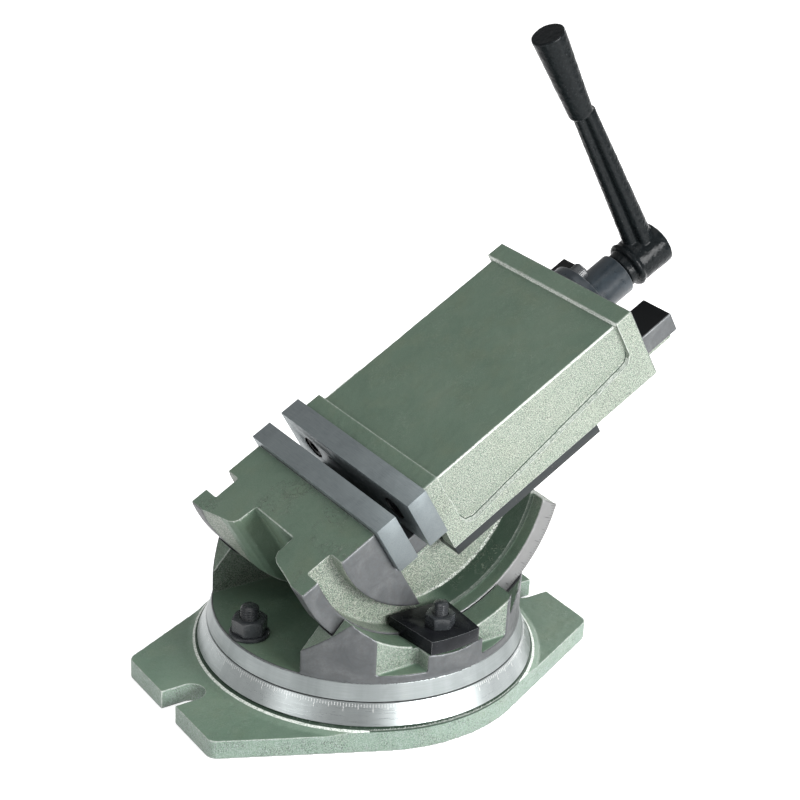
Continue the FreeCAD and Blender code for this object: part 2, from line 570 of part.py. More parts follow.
def make_keepers():
    """The strips under the moving jaw that hold it down to the rails, and their screws."""
    def keeper(tag, sign):
        strip = box(f"keeper_strip_{tag}", ("keeper_front", "keeper_end"),
                    across("keeper_inner", "keeper_outer", sign),
                    ("jaw_bottom - keeper_thick", "jaw_bottom"))
        low = "jaw_bottom - keeper_thick"
        holes = []
        for index, place in enumerate(keeper_places(sign)):
            holes.append(rod(f"keeper_hole_{tag}_{index}", "z", "small_radius + play",
                             low + " - 1", "jaw_bottom + 1", centre=place))
            holes.append(rod(f"keeper_sink_{tag}_{index}", "z", "flat_head_radius + play", low,
                             low + " + flat_head_height", centre=place, tip="small_radius + play"))
        finish(f"keeper_{tag}", cut(f"keeper_cut_{tag}", strip, *holes), frame="jaw")

    def screw(tag, place):
        low = "jaw_bottom - keeper_thick"
        head = rod(tag + "_head", "z", "flat_head_radius", low, low + " + flat_head_height",
                   centre=place, tip="small_radius")
        return fuse(tag, head, rod(tag + "_shank", "z", "small_radius", low + " + 1",
                                   "jaw_bottom + small_tail", centre=place))

    sides(keeper)
    finish("keeper_screws", both("keeper_bolts", screw, keeper_places("-1") + keeper_places("1")),
           frame="jaw")


def make_bearing():
    """The flange and neck that carry the lead screw behind the moving jaw, and its screws."""
    centre = ("0", "screw_drop")
    disc = rod("flange_disc", "x", "flange_radius", "jaw_end", "jaw_end + flange_thick", centre=centre)
    neck = rod("flange_neck", "x", "neck_radius", "jaw_end + 1", "neck_end", centre=centre)
    holes = [rod("journal_bore", "x", "journal_radius + play", "jaw_end - 1", "neck_end + 1",
                 centre=centre)]
    holes += [rod(f"flange_hole_{index}", "x", "small_radius + play", "jaw_end - 1",
                  "jaw_end + flange_thick + 1", centre=place)
              for index, place in enumerate(flange_places())]
    finish("bearing_flange", cut("flange", fuse("flange_solid", disc, neck), *holes), frame="jaw")

    def screw(tag, place):
        return cap_screw(tag, "jaw_end + flange_thick", "small_cap_height", "small_cap_radius",
                         "small_radius", "small_tail + 4", place)
    finish("flange_screws", both("flange_bolts", screw, flange_places()), frame="jaw")


# ---------------------------------------------------------------- lead screw and crank
def make_screw():
    """The lead screw with its thrust collar and journal, the cast crank and its pin."""
    centre = ("0", "screw_drop")
    collar_start = "jaw_end - collar_pocket + 0.2"
    solid = fuse("screw_solid",
                 rod("thread", "x", "thread_radius", "screw_front", collar_start, centre=centre),
                 rod("collar", "x", "collar_radius", collar_start, "jaw_end - 0.2", centre=centre),
                 rod("journal", "x", "journal_radius", "jaw_end - 1", "hub_boss_start - 0.2",
                     centre=centre),
                 rod("hub_seat", "x", "seat_radius", "hub_boss_start - 1", "hub_end - 1",
                     centre=centre))
    pin_hole = rod("screw_pin_hole", "y", "pin_radius + play", "-hub_radius - 1", "hub_radius + 1",
                   centre=("pin_place", "screw_drop"))
    finish("lead_screw", cut("screw", solid, pin_hole), frame="jaw")

    arm_end = "screw_drop + arm_reach"
    crank = fuse("crank_solid",
                 rod("hub", "x", "hub_radius", "hub_start", "hub_end", centre=centre),
                 rod("hub_boss", "x", "hub_boss_radius", "hub_boss_start", "hub_start + 1",
                     centre=centre),
                 rod("bead", "x", "bead_radius", "hub_start", "hub_start + bead_width", centre=centre),
                 rod("arm", "z", "arm_root", "screw_drop", arm_end, centre=("arm_place", "0"),
                     tip="arm_tip"),
                 rod("grip", "z", "grip_root", arm_end, "screw_drop + grip_reach",
                     centre=("grip_place", "0"), tip="grip_tip"))
    bore = rod("crank_bore", "x", "seat_radius + play", "hub_boss_start - 1", "hub_end + 1",
               centre=centre)
    hole = rod("crank_pin_hole", "y", "pin_radius + play", "-hub_radius - 5", "hub_radius + 5",
               centre=("pin_place", "screw_drop"))
    finish("crank_handle", cut("crank", crank, bore, hole), frame="jaw")
    place = ("pin_place", "screw_drop")
    pin = cut("roll_pin", rod("pin", "y", "pin_radius", "-hub_radius", "hub_radius", centre=place),
              rod("pin_hollow", "y", "pin_radius / 2", "-hub_radius - 1", "hub_radius + 1",
                  centre=place))
    finish("crank_pin", pin, frame="jaw")


def export():
    """Recompute, check every object and write each sub-part to its STEP file."""
    doc.recompute()
    for thing in doc.Objects:
        if any(word in thing.State for word in ("Invalid", "Error")):
            raise RuntimeError(f"{thing.Name} did not compute: {thing.State}")
    os.makedirs("parts", exist_ok=True)
    for thing in PARTS:
        shape = thing.Shape
        if shape.isNull() or not shape.isValid() or not shape.Solids:
            raise RuntimeError(f"{thing.Label} has no valid solid")
        shape.exportStep(f"parts/{thing.Label}.step")


make_base()
make_table()
make_swivel_lock()
make_tilt_lock()
make_body()
make_fixed_jaw()
make_screw_nut()
make_moving_jaw()
make_keepers()
make_bearing()
make_screw()
export()
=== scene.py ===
import math

import bmesh
import bpy
import numpy as np
from mathutils import Matrix, Vector


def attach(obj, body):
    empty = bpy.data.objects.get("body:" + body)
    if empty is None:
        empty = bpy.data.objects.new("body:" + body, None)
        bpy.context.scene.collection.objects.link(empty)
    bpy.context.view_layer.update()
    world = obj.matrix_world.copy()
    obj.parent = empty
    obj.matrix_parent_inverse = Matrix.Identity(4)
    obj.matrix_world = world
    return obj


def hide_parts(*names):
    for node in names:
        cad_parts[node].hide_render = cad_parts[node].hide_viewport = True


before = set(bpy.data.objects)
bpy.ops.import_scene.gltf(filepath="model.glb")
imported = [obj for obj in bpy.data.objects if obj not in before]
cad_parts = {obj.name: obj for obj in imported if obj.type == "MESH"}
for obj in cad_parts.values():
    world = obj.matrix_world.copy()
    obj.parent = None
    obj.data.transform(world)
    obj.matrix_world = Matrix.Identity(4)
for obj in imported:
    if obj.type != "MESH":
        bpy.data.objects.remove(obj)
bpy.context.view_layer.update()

# Lengths below are in millimetres; place() turns a finished mesh into metres.
MM = 0.001

# The tilt at rest, and the tilt axis: above the base, ahead of the vise frame's origin and below it.
TILT = math.radians(30)
AXIS_HEIGHT, AXIS_AHEAD, AXIS_DROP = 122.2, 22.5, 14.5

# The jaw's opening at rest, and the lead screw below the jaws' top.
OPENING, SCREW_DROP = 8.2, -26.5
SCREW_AXIS = (0.0, 0.0, SCREW_DROP)

# The turned ring of the base and the rim of the table, as (radius, height) of their sloping faces.
RING_FOOT, RING_HEAD = (92.1, 14.8), (87.25, 25.45)
RIM_FOOT, RIM_HEAD = (86.95, 26.45), (84.75, 35.2)
INSIDE = 80.0

# The body's half width at its rims, and the radius at which the rims' degree marks start.
BODY_HALF, RIM_RADIUS = 58.0, 83.4

# Where fasteners stand, and the faces that they bear on.
STUD_REACH, BOLT_CIRCLE = 69.5, 73.5
TABLE_TOP, WASHER, CLAMP_TOP = 36.1, 2.0, 57.0
JAW_END, FLANGE_THICK, FLANGE_CIRCLE = 160.3, 6.0, 18.4
KEEPER_FACE, KEEPER_REACH = -55.0, 50.0
PLATE_SCREWS = [(-40.0, -15.5), (40.0, -15.5)]
SINK_RADIUS = 7.05

# The frames of the bodies at rest.
TURN = Matrix.Rotation(-TILT, 4, "Y")
WORLD = Matrix.Identity(4)
AXIS_PLACE = TURN @ Vector((AXIS_AHEAD, 0, -AXIS_DROP))
VISE = Matrix.Translation(Vector((0, 0, AXIS_HEIGHT)) - AXIS_PLACE) @ TURN
JAW = VISE @ Matrix.Translation((OPENING, 0, 0))

# The even meshes' steps.
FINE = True
CAST_GRID, CRANK_GRID, QUICK_GRID = 0.6, 0.45, 1.3


# ---------------------------------------------------------------- materials
class Shading:
    """A node material being built; its methods return output sockets."""

    def __init__(self, name):
        self.material = bpy.data.materials.new(name)
        self.material.use_nodes = True
        self.tree = self.material.node_tree
        self.surface = self.tree.nodes["Principled BSDF"]
        texture = self.tree.nodes.new("ShaderNodeTexCoord")
        self.place, self.facing = texture.outputs["Object"], texture.outputs["Normal"]
        self.x, self.y, self.z = self.tree_node("ShaderNodeSeparateXYZ", self.place).outputs

    def feed(self, socket, value):
        """Link a socket to an input, or set the input to a number or colour."""
        if isinstance(value, bpy.types.NodeSocket):
            self.tree.links.new(value, socket)
        elif isinstance(value, tuple) and len(value) == 3 and socket.type == "RGBA":
            socket.default_value = (*value, 1)
        else:
            socket.default_value = value

    def tree_node(self, kind, *values):
        """A new node with its first inputs fed."""
        node = self.tree.nodes.new(kind)
        for socket, value in zip(node.inputs, values):
            self.feed(socket, value)
        return node

    def math(self, operation, a, b=0.0, c=0.0):
        node = self.tree_node("ShaderNodeMath", a, b, c)
        node.operation = operation
        return node.outputs[0]

    def length(self, a, b):
        """The length of the vector (a, b)."""
        squares = self.math("ADD", self.math("MULTIPLY", a, a), self.math("MULTIPLY", b, b))
        return self.math("SQRT", squares)

    def stretch(self, sx, sy, sz):
        """Coordinates scaled along each axis."""
        node = self.tree_node("ShaderNodeMapping", self.place)
        node.inputs["Scale"].default_value = (sx, sy, sz)
        return node.outputs[0]

    def noise(self, size, detail=3.0, rough=0.55, warp=0.0, where=None):
        """Noise whose features are about size millimetres."""
        node = self.tree.nodes.new("ShaderNodeTexNoise")
        self.feed(node.inputs["Vector"], where or self.place)
        node.inputs["Scale"].default_value = 1 / (size * MM)
        node.inputs["Detail"].default_value = detail
        node.inputs["Roughness"].default_value = rough
        node.inputs["Distortion"].default_value = warp
        return node.outputs["Fac"]

    def cells(self, size):
        """Rounded pebbles about size millimetres across."""
        node = self.tree.nodes.new("ShaderNodeTexVoronoi")
        self.feed(node.inputs["Vector"], self.place)
        node.inputs["Scale"].default_value = 1 / (size * MM)
        node.feature = "SMOOTH_F1"
        return node.outputs["Distance"]

    def span(self, value, low, high, first=0.0, last=1.0):
        """value from low to high made into first to last, held at the ends."""
        node = self.tree_node("ShaderNodeMapRange", value, low, high, first, last)
        node.clamp = True
        return node.outputs[0]

    def colours(self, value, *stops):
        """A colour ramp; each stop is a place and a colour."""
        node = self.tree_node("ShaderNodeValToRGB", value)
        ramp = node.color_ramp
        while len(ramp.elements) < len(stops):
            ramp.elements.new(0.5)
        for element, (place, colour) in zip(ramp.elements, stops):
            element.position = place
            element.color = (*colour, 1)
        return node.outputs["Color"]

    def mix(self, share, a, b):
        """A colour share of the way from a to b."""
        node = self.tree.nodes.new("ShaderNodeMix")
        node.data_type = "RGBA"
        self.feed(node.inputs[0], share)
        self.feed(node.inputs[6], a)
        self.feed(node.inputs[7], b)
        return node.outputs[2]

    def blend(self, share, a, b):
        """A value share of the way from a to b."""
        node = self.tree_node("ShaderNodeMix", share)
        self.feed(node.inputs[2], a)
        self.feed(node.inputs[3], b)
        return node.outputs[0]

    def bump(self, height, depth, strength, under=None):
        """A bump whose height of 0 to 1 stands for depth millimetres."""
        node = self.tree.nodes.new("ShaderNodeBump")
        node.inputs["Strength"].default_value = strength
        node.inputs["Distance"].default_value = depth * MM
        self.feed(node.inputs["Height"], height)
        if under is not None:
            self.feed(node.inputs["Normal"], under)
        return node.outputs[0]

    def worn(self, low, high):
        """1 along outward edges of a dense mesh, 0 elsewhere; it places painted edge highlights."""
        geometry = self.tree.nodes.new("ShaderNodeNewGeometry")
        return self.span(geometry.outputs["Pointiness"], low, high)

    def marked(self, name):
        """A number carried by the faces of the mesh, 0 where it has none."""
        node = self.tree.nodes.new("ShaderNodeAttribute")
        node.attribute_name = name
        return node.outputs["Fac"]

    def masked(self, mask, value):
        """A value kept inside a mask, 0 outside it."""
        return self.math("MULTIPLY", mask, value)

    def quantity(self, name, middle):
        """A measured quantity, in metres, of the place being shaded."""
        return quantity(name, self.x, self.y, self.z, lambda v: self.math("ABSOLUTE", v), self.length,
                        (lambda v: self.math("SUBTRACT", v, middle[0] * MM),
                         lambda v: self.math("SUBTRACT", v, middle[1] * MM)))

    def facing_part(self, axis):
        """How far the surface faces along an axis of the piece: 0 for x, 1 for y, 2 for z."""
        return self.tree_node("ShaderNodeSeparateXYZ", self.facing).outputs[axis]

    def set(self, **values):
        """Feed the surface's inputs, named with _ for a space, and give the material."""
        for name, value in values.items():
            self.feed(self.surface.inputs[name.replace("_", " ")], value)
        return self.material


def quantity(name, x, y, z, size, away, centre):
    """One measured quantity of a place: a coordinate, or a distance from an axis."""
    return {"x": lambda: x, "y": lambda: y, "z": lambda: z, "across": lambda: size(y),
            "out": lambda: away(x, y), "swing": lambda: away(centre[0](x), centre[1](z))}[name]()


def region_numbers(co, regions, middle):
    """Which of the points, in millimetres, lie in any of the regions."""
    found = np.zeros(len(co), bool)
    for tests in regions:
        inside = np.ones(len(co), bool)
        for name, low, high in tests:
            q = quantity(name, co[:, 0], co[:, 1], co[:, 2], np.abs, np.hypot,
                         (lambda v: v - middle[0], lambda v: v - middle[1]))
            inside &= (q > low) & (q < high)
        found |= inside
    return found


def region_mask(s, regions, middle):
    """The same regions as a socket that is 1 inside them."""
    found = 0.0
    for tests in regions:
        inside = 1.0
        for name, low, high in tests:
            q = s.quantity(name, middle)
            here = s.math("MULTIPLY", s.math("GREATER_THAN", q, low * MM),
                          s.math("LESS_THAN", q, high * MM))
            inside = s.math("MULTIPLY", inside, here)
        found = s.math("MAXIMUM", found, inside)
    return found


def fade(s, shapes, middle):
    """A soft mask: each shape is a list of quantities with the values where they begin and are full."""
    found = 0.0
    for spans in shapes:
        part = 1.0
        for name, start, full in spans:
            q = s.quantity(name, middle)
            part = s.math("MULTIPLY", part, s.span(q, start * MM, full * MM))
        found = s.math("MAXIMUM", found, part)
    return found


# The castings' colours; ENAMEL and IRON are ramps of places and colours.
ENAMEL = [(0.30, (0.066, 0.112, 0.077)), (0.52, (0.082, 0.131, 0.092)), (0.75, (0.100, 0.145, 0.104))]
OLIVE = (0.125, 0.135, 0.070)
SHADOW = (0.018, 0.032, 0.022)
PIT = (0.042, 0.050, 0.042)
# The glint colours are painted glints and painted shade specks.
CHIP, CHIP_HOLLOW = (0.70, 0.72, 0.68), (0.018, 0.026, 0.020)
# The ledge and edge colours are painted highlights; STROKE is the brush marks' own colour.
LEDGE, STROKE, WORN = (0.66, 0.69, 0.65), (0.26, 0.31, 0.24), (0.62, 0.64, 0.61)
IRON = [(0.25, (0.060, 0.066, 0.070)), (0.5, (0.088, 0.094, 0.098)), (0.8, (0.124, 0.131, 0.134))]
# The iron's edge colour is a painted highlight; IRON_STAIN is the iron's own stain.
IRON_STAIN, IRON_EDGE = (0.072, 0.067, 0.065), (0.40, 0.41, 0.42)
# The black iron colour is painted shade and dark reflection.
IRON_OILED, IRON_DULL = (0.010, 0.011, 0.012), (0.30, 0.297, 0.290)


def toned(colour, tone):
    """A colour made lighter or darker."""
    return tuple(tone * c for c in colour)


def enamel(s, tone):
    """Clean green enamel with broad clouds and faint olive patches."""
    ramp = [(place, toned(colour, tone)) for place, colour in ENAMEL]
    paint = s.colours(s.noise(42, 4, 0.6, 0.4), *ramp)
    return s.mix(s.span(s.noise(17, 4, 0.6), 0.50, 0.70, 0.0, 0.16), paint, toned(OLIVE, tone))


def sanded(s, paint, grain, coarse, grit, clean):
    """Paint on a sand casting: lighter grains, grain texture and painted sheen, and dark pits between
    them.
    """
    paint = s.mix(s.masked(s.span(grain, 0.44, 0.60, 0.0, 0.85), coarse), paint, grit)
    pits = s.masked(s.span(s.noise(0.62, 2, 0.7), 0.40, 0.48, 0.90, 0.0), coarse)
    blotch = s.span(s.noise(9, 4, 0.7, 0.5), 0.42, 0.60, clean, 1.0)
    return s.mix(s.masked(pits, blotch), paint, PIT)


def chipped(s, paint, rubbed):
    """Paint with painted glints and painted shade specks inside the mask."""
    chips = s.masked(rubbed, s.span(s.noise(0.8, 3, 0.8), 0.46, 0.60, 0.0, 0.6))
    paint = s.mix(chips, paint, CHIP)
    hollows = s.masked(rubbed, s.span(s.noise(1.1, 3, 0.8), 0.42, 0.48, 0.9, 0.0))
    return s.mix(hollows, paint, CHIP_HOLLOW)


def brush_strokes(s, level):
    """Thin wrinkles that run in patches over the upper faces."""
    wave = s.math("ABSOLUTE", s.math("SUBTRACT", s.noise(5, 3, 0.6, 1.5), 0.5))
    patch = s.span(s.noise(26, 2, 0.5), 0.50, 0.60)
    return s.masked(s.masked(s.span(wave, 0.0, 0.02, 1.0, 0.0), patch), level)


def machined_iron(s, oiled, pale):
    """Bare machined iron: clouded and stained, with painted highlights at its edges, black as painted
    shade and dark reflection where asked.
    """
    iron = s.colours(s.noise(15, 6, 0.6, 1.0), *IRON)
    iron = s.mix(s.span(s.noise(1.3, 4, 0.7), 0.40, 0.75, 0.0, 0.5), iron, IRON_STAIN)
    # Painted highlights along the iron's edges.
    iron = s.mix(s.masked(s.worn(0.53, 0.60), 0.35), iron, IRON_EDGE)
    # Black painted shade and dark reflection in the shaded regions.
    iron = s.mix(oiled, iron, IRON_OILED)
    return s.mix(s.masked(pale, 0.4), iron, IRON_DULL)


def cast_paint(name, regions, middle, tone=1.0, grit=(0.37, 0.37, 0.33), clean=0.8, least=0.10,
               wrinkled=0.15, recess=(), gritty=(), calm=(), lit=(), oiled=(), dim=(), pale=()):
    """Green enamel on a sand casting, smoother on top, with machined faces left bare.

    regions: bare machined iron. middle: the axis from which "swing" is measured.
    tone: the paint's brightness. grit: the colour of the lighter grains, grain texture and painted
    sheen.
    clean: the share of pits outside blotches. least: the coarseness of the upper faces.
    wrinkled: the strength of the brush strokes.
    recess: painted shade in hollows and creases. gritty: rough paint with painted glints
    and painted shade specks. calm: smooth paint. lit: painted highlights on ledges.
    oiled: black painted shade and dark reflection on bare iron. dim, pale: soft shapes, of
    painted shade and of dull iron.
    """
    s = Shading(name)
    bare = region_mask(s, regions, middle)
    # deep and gloom are masks of painted shade, hard and soft.
    deep = region_mask(s, recess, middle)
    # Where glints and shade specks are painted; the paint there is also rougher.
    rubbed = region_mask(s, gritty, middle)
    gloom = s.masked(fade(s, dim, middle), 0.88)
    level = s.span(s.facing_part(2), 0.50, 0.85)
    smooth = s.math("MAXIMUM", level, region_mask(s, calm, middle))
    coarse = s.blend(smooth, 1.0, least)
    painted = s.math("SUBTRACT", 1.0, bare)
    grain = s.noise(0.5, 2, 0.7)
    strokes = brush_strokes(s, level)

    # The lighter grains show most on the side faces: grain texture and painted sheen.
    paint = sanded(s, enamel(s, tone), grain, coarse, grit, clean)
    # Painted shade: the hard shapes, then the soft ones.
    paint = s.mix(s.masked(deep, 0.90), paint, SHADOW)
    paint = s.mix(gloom, paint, SHADOW)
    # Painted highlights on the lit ledges.
    ledge = s.span(s.noise(1.0, 3, 0.7), 0.36, 0.54, 0.2, 0.9)
    paint = s.mix(s.masked(region_mask(s, lit, middle), ledge), paint, LEDGE)
    # Painted glints and painted shade specks.
    paint = chipped(s, paint, rubbed)
    paint = s.mix(s.masked(strokes, wrinkled), paint, STROKE)
    # Painted highlights along outward edges.
    edge = s.masked(s.worn(0.515, 0.57), s.span(s.noise(1.6, 3), 0.35, 0.6, 0.40, 0.9))
    paint = s.mix(edge, paint, WORN)
    iron = machined_iron(s, region_mask(s, oiled, middle), fade(s, pale, middle))

    rough = s.blend(bare, s.span(s.noise(2.2, 4), 0.3, 0.7, 0.34, 0.50),
                    s.span(s.noise(6, 5, 0.6), 0.3, 0.7, 0.36, 0.52))
    pebble = s.math("ADD", s.cells(0.8), s.math("MULTIPLY", grain, 1.1))
    skin = s.bump(s.masked(pebble, s.masked(s.math("MAXIMUM", coarse, rubbed), painted)), 0.13, 0.9)
    ridges = s.bump(s.masked(strokes, painted), 0.25, 3 * wrinkled, under=skin)
    lines = s.noise(0.35, 2, 0.5, where=s.stretch(1.0, 0.06, 1.0))
    fine = s.bump(s.masked(lines, bare), 0.012, 0.5, under=ridges)
    # Less shine where shade is painted.
    shine = s.blend(s.math("MAXIMUM", deep, gloom), 0.5, 0.12)
    return s.set(Base_Color=s.mix(bare, paint, iron), Metallic=s.masked(bare, 0.75),
                 Specular_IOR_Level=shine, Roughness=rough, Normal=fine)


def ground_steel(name, along=(0.05, 1.0, 1.0), shade=1.0, holes=()):
    """Surface-ground steel with fine parallel lines and faint stains, with painted shade in the given
    holes and on its faces that face along y; shade darkens all its colours.
    """
    s = Shading(name)
    lines = s.noise(0.5, 4, 0.6, where=s.stretch(*along))
    cloud = s.noise(22, 5, 0.6, 0.8)
    tones = [(0.165, 0.192, 0.203), (0.228, 0.262, 0.272), (0.30, 0.335, 0.342)]
    first, second, bright = [toned(tone, shade) for tone in tones]
    colour = s.colours(cloud, (0.3, first), (0.7, second))
    colour = s.mix(s.span(lines, 0.3, 0.7, 0.0, 0.5), colour, bright)
    sideways = s.math("ABSOLUTE", s.facing_part(1))
    # Painted shade on faces that face along y.
    colour = s.mix(s.span(sideways, 0.6, 0.9, 0.0, 0.42), colour, (0.02, 0.022, 0.023))
    specks = s.span(s.noise(2.2, 3, 0.7), 0.66, 0.72, 0.0, 0.5)
    colour = s.mix(specks, colour, (0.08, 0.075, 0.07))
    # Painted shade in the screw holes.
    for y, z in holes:
        apart = s.length(s.math("SUBTRACT", s.y, y * MM), s.math("SUBTRACT", s.z, z * MM))
        sunk = s.span(apart, SINK_RADIUS * MM, (SINK_RADIUS + 0.2) * MM, 1.0, 0.0)
        colour = s.mix(sunk, colour, (0.006, 0.006, 0.006))
    return s.set(Base_Color=colour, Metallic=0.8,
                 Roughness=s.span(s.noise(5, 4), 0.3, 0.7, 0.36, 0.48),
                 Normal=s.bump(lines, 0.010, 0.6))


def turned_steel(name, low, high, gloss):
    """Lathe-turned metal whose fine rings catch the light in streaks, with painted highlight streaks in
    its colour round the ring.
    """
    s = Shading(name)
    rings = s.noise(0.30, 3, 0.6, where=s.stretch(0.02, 0.02, 1.0))
    angle = s.math("ARCTAN2", s.y, s.x)
    around = s.tree_node("ShaderNodeCombineXYZ", angle, 0.0, 0.0).outputs[0]
    # Painted highlight streaks: the colour changes round the ring.
    streak = s.tree.nodes.new("ShaderNodeTexNoise")
    s.feed(streak.inputs["Vector"], around)
    streak.inputs["Scale"].default_value = 5.0
    streak.inputs["Detail"].default_value = 5.0
    colour = s.colours(streak.outputs["Fac"], (0.3, low), (0.7, high))
    colour = s.mix(s.span(rings, 0.35, 0.75, 0.0, 0.30), colour, toned(low, 0.7))
    colour = s.mix(s.span(s.noise(9, 5, 0.6), 0.55, 0.75, 0.0, 0.35), colour, toned(low, 0.8))
    tangent = s.tree.nodes.new("ShaderNodeTangent")
    tangent.direction_type = "RADIAL"
    tangent.axis = "Z"
    return s.set(Base_Color=colour, Metallic=1.0,
                 Roughness=s.span(rings, 0.3, 0.7, gloss - 0.04, gloss + 0.05),
                 Anisotropic=0.5, Tangent=tangent.outputs[0], Normal=s.bump(rings, 0.004, 0.4))


def black_steel(name, gloss=0.24, rub=0.8, shine=0.12, tint=(0.010, 0.011, 0.013)):
    """Black oxide on steel, with painted highlights on the facets of its broken edges."""
    s = Shading(name)
    cloud = s.noise(6, 4, 0.6, 0.3)
    colour = s.colours(cloud, (0.3, toned(tint, 0.6)), (0.7, tint))
    # Painted highlights on the bevel facets that edged() marks.
    wear = s.masked(s.marked("rubbed"), s.span(s.noise(1.5, 3), 0.35, 0.6, 0.5 * rub, rub))
    colour = s.mix(wear, colour, (0.16, 0.17, 0.175))
    colour = s.mix(s.span(s.noise(0.6, 3, 0.7), 0.68, 0.76, 0.0, 0.20), colour, (0.05, 0.05, 0.055))
    return s.set(Base_Color=colour, Specular_IOR_Level=shine,
                 Roughness=s.span(s.noise(2.5, 4), 0.3, 0.7, gloss - 0.06, gloss + 0.08),
                 Normal=s.bump(s.noise(2.0, 3, 0.5), 0.02, 0.4))


def black_casting(name):
    """Black enamel run over a coarse casting."""
    s = Shading(name)
    lumps = s.noise(1.4, 4, 0.65, 0.3)
    colour = s.colours(lumps, (0.3, (0.003, 0.004, 0.0045)), (0.75, (0.008, 0.010, 0.011)))
    colour = s.mix(s.span(s.noise(0.7, 4, 0.75), 0.63, 0.71, 0.0, 0.5), colour, (0.10, 0.105, 0.11))
    return s.set(Base_Color=colour, Specular_IOR_Level=0.09,
                 Roughness=s.span(s.noise(2.2, 4), 0.3, 0.7, 0.10, 0.24),
                 Normal=s.bump(s.math("ADD", lumps, s.cells(2.0)), 0.16, 0.8))


def plain_metal(name, low, high, rough):
    """Machined metal with a faint cloud and turning marks."""
    s = Shading(name)
    lines = s.noise(0.4, 3, 0.6, where=s.stretch(1.0, 0.08, 0.08))
    colour = s.colours(s.noise(8, 5, 0.6), (0.3, low), (0.7, high))
    return s.set(Base_Color=colour, Metallic=1.0,
                 Roughness=s.span(lines, 0.3, 0.7, rough - 0.06, rough + 0.08),
                 Normal=s.bump(lines, 0.012, 0.5))


def mark_fill(name, colour):
    """The filling of an engraved mark."""
    s = Shading(name)
    tone = s.mix(s.span(s.noise(1.0, 4), 0.35, 0.7, 0.0, 0.5), colour, toned(colour, 0.55))
    return s.set(Base_Color=tone, Roughness=s.span(s.noise(0.6, 2), 0.3, 0.7, 0.45, 0.7),
                 Normal=s.bump(s.noise(0.4, 2), 0.01, 0.5))


# ---------------------------------------------------------------- geometry
def place(mesh, name, body, local, material, nodes=(), slot=None, smooth=35):
    """Make a mesh in millimetres an object that rides on a body and stands for CAD nodes."""
    mesh.transform(Matrix.Scale(MM, 4))
    mesh.materials.clear()
    mesh.materials.append(material)
    mesh.shade_smooth()
    if smooth:
        mesh.set_sharp_from_angle(angle=math.radians(smooth))
    piece = bpy.data.objects.new(name, mesh)
    bpy.context.scene.collection.objects.link(piece)
    metres = local.copy()
    metres.translation = local.translation * MM
    piece.matrix_world = metres
    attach(piece, body)
    if nodes:
        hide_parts(*nodes)
    return piece


def raw_mesh(name, points, faces):
    """A mesh from points and faces."""
    mesh = bpy.data.meshes.new(name)
    mesh.from_pydata([tuple(p) for p in points], [], faces)
    mesh.update()
    return mesh


def joined(name, parts):
    """One mesh from several lists of points and faces."""
    points, faces = [], []
    for some_points, some_faces in parts:
        base = len(points)
        points += some_points
        faces += [tuple(i + base for i in face) for face in some_faces]
    return raw_mesh(name, points, faces)


def turn(profile, segments, axis="z", centre=(0.0, 0.0, 0.0)):
    """Points and faces of a solid turned about an axis.

    profile(angle) gives the outline as (radius, height) pairs, closed, or from axis to axis.
    """
    rows = [profile(2 * math.pi * k / segments) for k in range(segments)]
    count = len(rows[0])
    open_ends = rows[0][0][0] < 1e-6
    points = []
    for k, row in enumerate(rows):
        c, s = math.cos(2 * math.pi * k / segments), math.sin(2 * math.pi * k / segments)
        for radius, height in row:
            a, b = radius * c, radius * s
            spot = {"z": (a, b, height), "x": (height, a, b), "y": (b, height, a)}[axis]
            points.append(tuple(p + q for p, q in zip(spot, centre)))
    faces = []
    for k in range(segments):
        n = (k + 1) % segments
        steps = count - 1 if open_ends else count
        for i in range(steps):
            j = (i + 1) % count
            a, b, c, d = k * count + i, n * count + i, n * count + j, k * count + j
            if open_ends and i == 0:
                faces.append((0, c, d))
            elif open_ends and i == count - 2:
                faces.append((a, b, count - 1))
            else:
                faces.append((a, b, c, d))
    return points, faces


def turned(outline, segments, axis="z", centre=(0.0, 0.0, 0.0)):
    """Points and faces of a solid whose outline is the same all round."""
    return turn(lambda angle: outline, segments, axis, centre)


def cad_copy(node, local):
    """A CAD node's mesh in millimetres in a local frame, with its points joined up."""
    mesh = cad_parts[node].data.copy()
    mesh.transform(local.inverted() @ Matrix.Scale(1000, 4))
    holder = bpy.data.objects.new(node + "_work", mesh)
    weld = holder.modifiers.new("weld", "WELD")
    weld.merge_threshold = 0.002
    return holder


def applied(holder):
    """The mesh of a work object with its modifiers, leaving nothing in the scene."""
    bpy.context.scene.collection.objects.link(holder)
    bpy.context.view_layer.update()
    graph = bpy.context.evaluated_depsgraph_get()
    mesh = bpy.data.meshes.new_from_object(holder.evaluated_get(graph))
    bpy.data.objects.remove(holder)
    return mesh


def value_noise(co, cell, seed):
    """Smooth noise from 0 to 1 at points in millimetres."""
    q = co / cell
    low = np.floor(q).astype(np.int64)
    f = q - low
    f = f * f * (3 - 2 * f)
    total = np.zeros(len(co))
    for dx in (0, 1):
        for dy in (0, 1):
            for dz in (0, 1):
                corner = low + (dx, dy, dz)
                # The corner's coordinates and the seed, scrambled into a value from 0 to 1.
                key = corner[:, 0] * 73856093
                key = key ^ corner[:, 1] * 19349663 ^ corner[:, 2] * 83492791
                key = (key ^ seed * 2654435761) & 0xFFFFFFFF
                key = (key ^ key >> 15) * 2246822519 & 0xFFFFFFFF
                key = (key ^ key >> 13) * 3266489917 & 0xFFFFFFFF
                value = (key ^ key >> 16) / 0xFFFFFFFF
                weight = np.ones(len(co))
                for axis, d in enumerate((dx, dy, dz)):
                    weight = weight * (f[:, axis] if d else 1 - f[:, axis])
                total += value * weight
    return total


